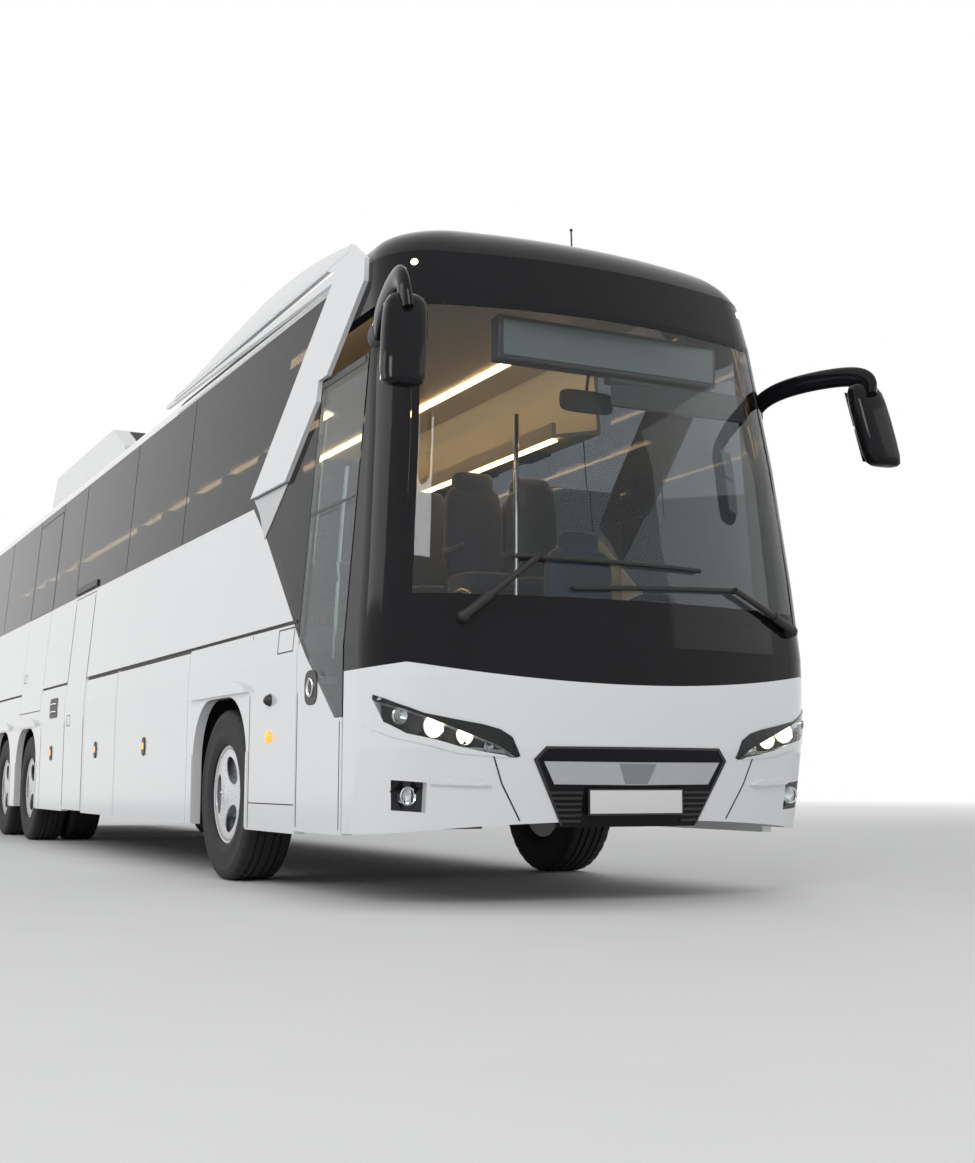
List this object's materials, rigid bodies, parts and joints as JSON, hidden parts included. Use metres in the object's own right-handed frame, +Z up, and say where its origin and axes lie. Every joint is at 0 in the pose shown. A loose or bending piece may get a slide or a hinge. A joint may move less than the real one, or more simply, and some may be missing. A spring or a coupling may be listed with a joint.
{
  "type": "coach bus",
  "caption": "Three-axle touring coach with a hollow seated cabin, swing doors, lift door, luggage flaps, steering front wheels and turning wheels.",
  "frame": {"origin": "on the ground, at the middle of the overall box", "axes": "+Z up, the front faces -Y, the passenger doors are on -X, +X is the vehicle's left side"},
  "size_m": [3.03, 14.1598, 3.8699],
  "materials": {
    "white_paint": "gloss white coach paint",
    "black_gloss": "gloss black",
    "tinted_glass": "dark tinted, polished",
    "windscreen_glass": "clear, polished",
    "lamp_lens": "clear lens over a dark housing",
    "rear_lamp_lens": "red lens",
    "black_plastic": "satin black",
    "dark_steel": "satin dark grey underseal",
    "engine_iron": "cast",
    "tyre_rubber": "matt rubber",
    "wheel_silver": "satin silver",
    "floor_vinyl": "fine grained vinyl",
    "seat_fabric": "woven velour",
    "dash_plastic": "grained",
    "rack_trim": "satin light trim"
  },
  "bodies": {
    "coach_body": {"front_bumper": "white_paint", "front_grille": "black_gloss", "front_lamps": "lamp_lens", "lower_front_panel": "black_gloss", "windscreen": "windscreen_glass", "front_pillars": "black_gloss", "roof_front_cap": "black_gloss", "roof_shell": "white_paint", "roof_unit": "white_paint", "roof_fins": "white_paint", "aerial": "black_plastic", "side_wall_right": "white_paint", "side_wall_left": "white_paint", "side_glass_right": "tinted_glass", "side_glass_left": "tinted_glass", "rear_bumper": "white_paint", "rear_wall": "white_paint", "rear_window": "tinted_glass", "rear_lamps": "rear_lamp_lens", "deck": "floor_vinyl", "steps": "floor_vinyl", "underframe": "dark_steel", "front_axle": "dark_steel", "drive_axle": "dark_steel", "tag_axle": "dark_steel", "engine": "engine_iron", "seats": "seat_fabric", "driver_seat": "seat_fabric", "dashboard": "dash_plastic", "steering_wheel": "dash_plastic", "luggage_racks": "rack_trim", "mirrors": "black_gloss", "wipers": "black_plastic"},
    "front_door_link": {"front_door_arm": "dark_steel"},
    "front_door_leaf": {"front_door": "white_paint", "front_door_glass": "tinted_glass"},
    "mid_door_link": {"mid_door_arm": "dark_steel"},
    "mid_door_leaf": {"mid_door": "white_paint"},
    "lift_door_leaf": {"lift_door": "white_paint", "lift_door_glass": "tinted_glass"},
    "right_flap_1": {"flap_right_1": "white_paint"},
    "right_flap_2": {"flap_right_2": "white_paint"},
    "left_flap_1": {"flap_left_1": "white_paint"},
    "left_flap_2": {"flap_left_2": "white_paint"},
    "left_flap_3": {"flap_left_3": "white_paint"},
    "rear_lid": {"engine_lid": "white_paint"},
    "right_knuckle": {"knuckle_right": "dark_steel"},
    "left_knuckle": {"knuckle_left": "dark_steel"},
    "front_wheel_right": {"tyre_front_right": "tyre_rubber", "wheel_front_right": "wheel_silver"},
    "front_wheel_left": {"tyre_front_left": "tyre_rubber", "wheel_front_left": "wheel_silver"},
    "drive_wheel_right": {"tyre_drive_right": "tyre_rubber", "wheel_drive_right": "wheel_silver"},
    "drive_wheel_left": {"tyre_drive_left": "tyre_rubber", "wheel_drive_left": "wheel_silver"},
    "tag_wheel_right": {"tyre_tag_right": "tyre_rubber", "wheel_tag_right": "wheel_silver"},
    "tag_wheel_left": {"tyre_tag_left": "tyre_rubber", "wheel_tag_left": "wheel_silver"}
  },
  "joints": [
    {"name": "front_door_swing", "type": "hinge", "parent": "coach_body", "child": "front_door_link", "pos_m": [-1.08, -6.002, 0.7], "axis": [0, 0, 1], "range_deg": [0, 100]},
    {"name": "front_door_turn", "type": "hinge", "parent": "front_door_link", "child": "front_door_leaf", "pos_m": [-1.08, -5.582, 0.7], "axis": [0, 0, 1], "range_deg": [-100, 0]},
    {"name": "mid_door_swing", "type": "hinge", "parent": "coach_body", "child": "mid_door_link", "pos_m": [-1.08, 0.008, 0.7], "axis": [0, 0, 1], "range_deg": [0, 100]},
    {"name": "mid_door_turn", "type": "hinge", "parent": "mid_door_link", "child": "mid_door_leaf", "pos_m": [-1.08, 0.428, 0.7], "axis": [0, 0, 1], "range_deg": [-100, 0]},
    {"name": "lift_door_hinge", "type": "hinge", "parent": "coach_body", "child": "lift_door_leaf", "pos_m": [-1.261, 1.866, 1.24], "axis": [0.0793, 0, 0.9968], "range_deg": [0, 90]},
    {"name": "right_flap_1_hinge", "type": "hinge", "parent": "coach_body", "child": "right_flap_1", "pos_m": [-1.24876, 0, 1.403], "axis": [0, -1, 0], "range_deg": [-85, 0]},
    {"name": "right_flap_2_hinge", "type": "hinge", "parent": "coach_body", "child": "right_flap_2", "pos_m": [-1.24876, 0, 1.403], "axis": [0, -1, 0], "range_deg": [-85, 0]},
    {"name": "left_flap_1_hinge", "type": "hinge", "parent": "coach_body", "child": "left_flap_1", "pos_m": [1.24876, 0, 1.403], "axis": [0, 1, 0], "range_deg": [-85, 0]},
    {"name": "left_flap_2_hinge", "type": "hinge", "parent": "coach_body", "child": "left_flap_2", "pos_m": [1.24876, 0, 1.403], "axis": [0, 1, 0], "range_deg": [-85, 0]},
    {"name": "left_flap_3_hinge", "type": "hinge", "parent": "coach_body", "child": "left_flap_3", "pos_m": [1.24876, 0, 1.403], "axis": [0, 1, 0], "range_deg": [-85, 0]},
    {"name": "rear_lid_hinge", "type": "hinge", "parent": "coach_body", "child": "rear_lid", "pos_m": [0, 7.044, 1.954], "axis": [1, 0, 0], "range_deg": [0, 70]},
    {"name": "steer_right", "type": "hinge", "parent": "coach_body", "child": "right_knuckle", "pos_m": [-0.87, -4.06, 0.512], "axis": [0, 0, 1], "range_deg": [-40, 40]},
    {"name": "steer_left", "type": "hinge", "parent": "coach_body", "child": "left_knuckle", "pos_m": [0.87, -4.06, 0.512], "axis": [0, 0, 1], "range_deg": [-40, 40]},
    {"name": "front_wheel_right_spin", "type": "hinge", "parent": "right_knuckle", "child": "front_wheel_right", "pos_m": [-1.086, -4.06, 0.512], "axis": [1, 0, 0], "continuous": true},
    {"name": "front_wheel_left_spin", "type": "hinge", "parent": "left_knuckle", "child": "front_wheel_left", "pos_m": [1.086, -4.06, 0.512], "axis": [1, 0, 0], "continuous": true},
    {"name": "drive_wheel_right_spin", "type": "hinge", "parent": "coach_body", "child": "drive_wheel_right", "pos_m": [-1.086, 2.54, 0.512], "axis": [1, 0, 0], "continuous": true},
    {"name": "drive_wheel_left_spin", "type": "hinge", "parent": "coach_body", "child": "drive_wheel_left", "pos_m": [1.086, 2.54, 0.512], "axis": [1, 0, 0], "continuous": true},
    {"name": "tag_wheel_right_spin", "type": "hinge", "parent": "coach_body", "child": "tag_wheel_right", "pos_m": [-1.086, 4.01, 0.512], "axis": [1, 0, 0], "continuous": true},
    {"name": "tag_wheel_left_spin", "type": "hinge", "parent": "coach_body", "child": "tag_wheel_left", "pos_m": [1.086, 4.01, 0.512], "axis": [1, 0, 0], "continuous": true}
  ],
  "couplings": [
    {"joint": "front_door_turn", "follows": "front_door_swing", "ratio": -1},
    {"joint": "mid_door_turn", "follows": "mid_door_swing", "ratio": -1},
    {"joint": "steer_left", "follows": "steer_right", "ratio": 1}
  ]
}
